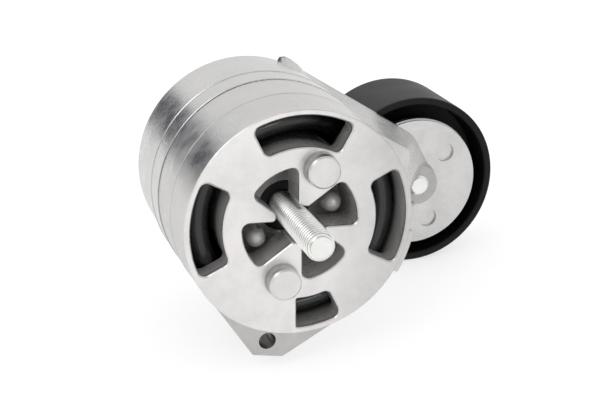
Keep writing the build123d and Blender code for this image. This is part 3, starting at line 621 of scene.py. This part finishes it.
def wound_wire(name, coil_r):
    """The torsion spring: round wire, its first and last coil closed flat against the castings."""
    flat, closed = 305 / 360, 365 / 360  # in turns: the end coil is flat up to here, and has risen by here
    rise = 9.3 * MM
    edge = 0.6 * MM  # broken edge of the wire's ends
    steps_per_turn = 72
    ring_points = 24
    middle = (COIL_START + COIL_END) / 2

    def smooth(value):
        value = max(0.0, min(1.0, value))
        return value * value * (3 - 2 * value)

    def depth(t):
        if t > COIL_TURNS / 2:
            return COIL_START + COIL_END - depth(COIL_TURNS - t)
        if t <= closed:
            return COIL_START + rise * smooth((t - flat) / (closed - flat))
        share = (t - closed) / (COIL_TURNS / 2 - closed)
        return COIL_START + rise + (middle - COIL_START - rise) * share

    count = int(round(COIL_TURNS * steps_per_turn))
    line = []
    for i in range(count + 1):
        t = COIL_TURNS * i / count
        angle = radians(COIL_ANGLE) - tau * t
        radial = Vector((cos(angle), 0, sin(angle)))
        line.append((radial * coil_r + Vector((0, depth(t), 0)), radial))
    points, faces = [], []

    def add_ring(centre, radial, tangent, r):
        side = tangent.cross(radial).normalized()
        out = side.cross(tangent).normalized()
        first = len(points)
        for k in range(ring_points):
            a = tau * k / ring_points
            points.append(centre + out * (r * cos(a)) + side * (r * sin(a)))
        return first

    rings = []
    for i, (centre, radial) in enumerate(line):
        before, after = line[max(i - 1, 0)][0], line[min(i + 1, count)][0]
        tangent = (after - before).normalized()
        if i == 0:
            rings.append(add_ring(centre, radial, tangent, WIRE_R - edge))
            rings.append(add_ring(centre + tangent * edge, radial, tangent, WIRE_R))
        elif i == count:
            rings.append(add_ring(centre - tangent * edge, radial, tangent, WIRE_R))
            rings.append(add_ring(centre, radial, tangent, WIRE_R - edge))
        else:
            rings.append(add_ring(centre, radial, tangent, WIRE_R))
    for a, b in zip(rings, rings[1:]):
        for k in range(ring_points):
            n = (k + 1) % ring_points
            faces.append((a + k, b + k, b + n, a + n))
    faces.append(tuple(range(rings[0], rings[0] + ring_points)))
    faces.append(tuple(reversed(range(rings[-1], rings[-1] + ring_points))))
    return new_piece(name, points, faces, wire_black)


spring_low, spring_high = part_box("torsion_spring")
spring = wound_wire("torsion_coil", (spring_high.x - spring_low.x) / 2 - WIRE_R)
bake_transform(spring)
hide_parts("torsion_spring")


# ================= studio =================

FLOOR_SIZE = 6.0
FLOOR_GAP = 0.2 * MM  # between the floor and the object's lowest point
floor_level = cad_low.z - FLOOR_GAP
floor_mesh = bpy.data.meshes.new("studio_floor")
corners = [(x * FLOOR_SIZE, y * FLOOR_SIZE, floor_level) for x, y in ((-1, -1), (1, -1), (1, 1), (-1, 1))]
floor_mesh.from_pydata(corners, [], [(0, 1, 2, 3)])
floor = bpy.data.objects.new("studio_floor", floor_mesh)
scene.collection.objects.link(floor)
floor_material, _, shader, _ = new_material("floor_white")
shader.inputs["Base Color"].default_value = grey(0.50)
shader.inputs["Roughness"].default_value = 0.8
shader.inputs["Specular IOR Level"].default_value = 0.2
shader.inputs["Emission Color"].default_value = grey(1.0)
shader.inputs["Emission Strength"].default_value = 0.64
floor_mesh.materials.append(floor_material)


def lobe(t, direction, towards, inner, outer, strength):
    """A soft spot of light or dark in the surroundings, from full at angle inner to none at outer."""
    inputs = {0: direction, 1: Vector(towards).normalized()}
    dot = t.add("ShaderNodeVectorMath", inputs, operation="DOT_PRODUCT").outputs["Value"]
    return t.times(t.span(dot, cos(radians(outer)), cos(radians(inner)), smooth=True), strength)


world = bpy.data.worlds.new("studio")
scene.world = world
world.use_nodes = True
t = Tree(world.node_tree)
direction = t.add("ShaderNodeTexCoord").outputs["Generated"]
split = t.add("ShaderNodeSeparateXYZ", {0: direction})
# pale all round, brighter behind the object and dimmer above it
level = t.span(split.outputs[1], -1.0, 1.0, 0.76, 0.95)
level = t.math("SUBTRACT", level, lobe(t, direction, (0.0, 0.1, 1.0), 10, 60, 0.16))
# a dark gap behind and to the left, which camera rays don't see: it shows only in reflections
around = t.math("ARCTAN2", t.times(split.outputs[0], -1.0), split.outputs[2])
gap = t.span(around, radians(40), radians(54), smooth=True)
off_axis = t.math("ARCCOSINE", split.outputs[1])
gap = t.times(gap, t.span(off_axis, radians(6), radians(14), smooth=True))
gap = t.times(gap, t.span(off_axis, radians(52), radians(40), smooth=True))
seen = t.add("ShaderNodeLightPath").outputs["Is Camera Ray"]
gap = t.times(gap, t.math("SUBTRACT", 1.0, seen))
cool = t.times(level, t.math("SUBTRACT", 1.0, t.times(gap, 0.87)))
level = t.times(level, t.math("SUBTRACT", 1.0, t.times(gap, 0.89)))
colour = t.add("ShaderNodeCombineXYZ", {0: level, 1: level, 2: cool}).outputs[0]
background = t.add("ShaderNodeBackground", {"Color": colour, "Strength": 1.0})
output = t.add("ShaderNodeOutputWorld")
t.tree.links.new(background.outputs[0], output.inputs[0])


def softbox(name, position, target, width, height, power):
    """A rectangular lamp, turned towards its target."""
    light = bpy.data.lights.new(name, "AREA")
    light.shape = "RECTANGLE"
    light.size, light.size_y = width, height
    light.energy = power
    lamp = bpy.data.objects.new(name, light)
    scene.collection.objects.link(lamp)
    lamp.location = position
    lamp.rotation_euler = (Vector(target) - Vector(position)).to_track_quat("-Z", "Y").to_euler()


centre = (cad_low + cad_high) / 2
softbox("key_left", (-0.9, -0.9, 1.1), centre, 0.7, 0.7, 3.0)
softbox("fill_right", (1.1, -0.8, 0.9), centre, 0.6, 0.8, 0.4)
softbox("above_camera", (0.30, -1.20, 0.30), centre, 0.40, 0.16, 1.1)
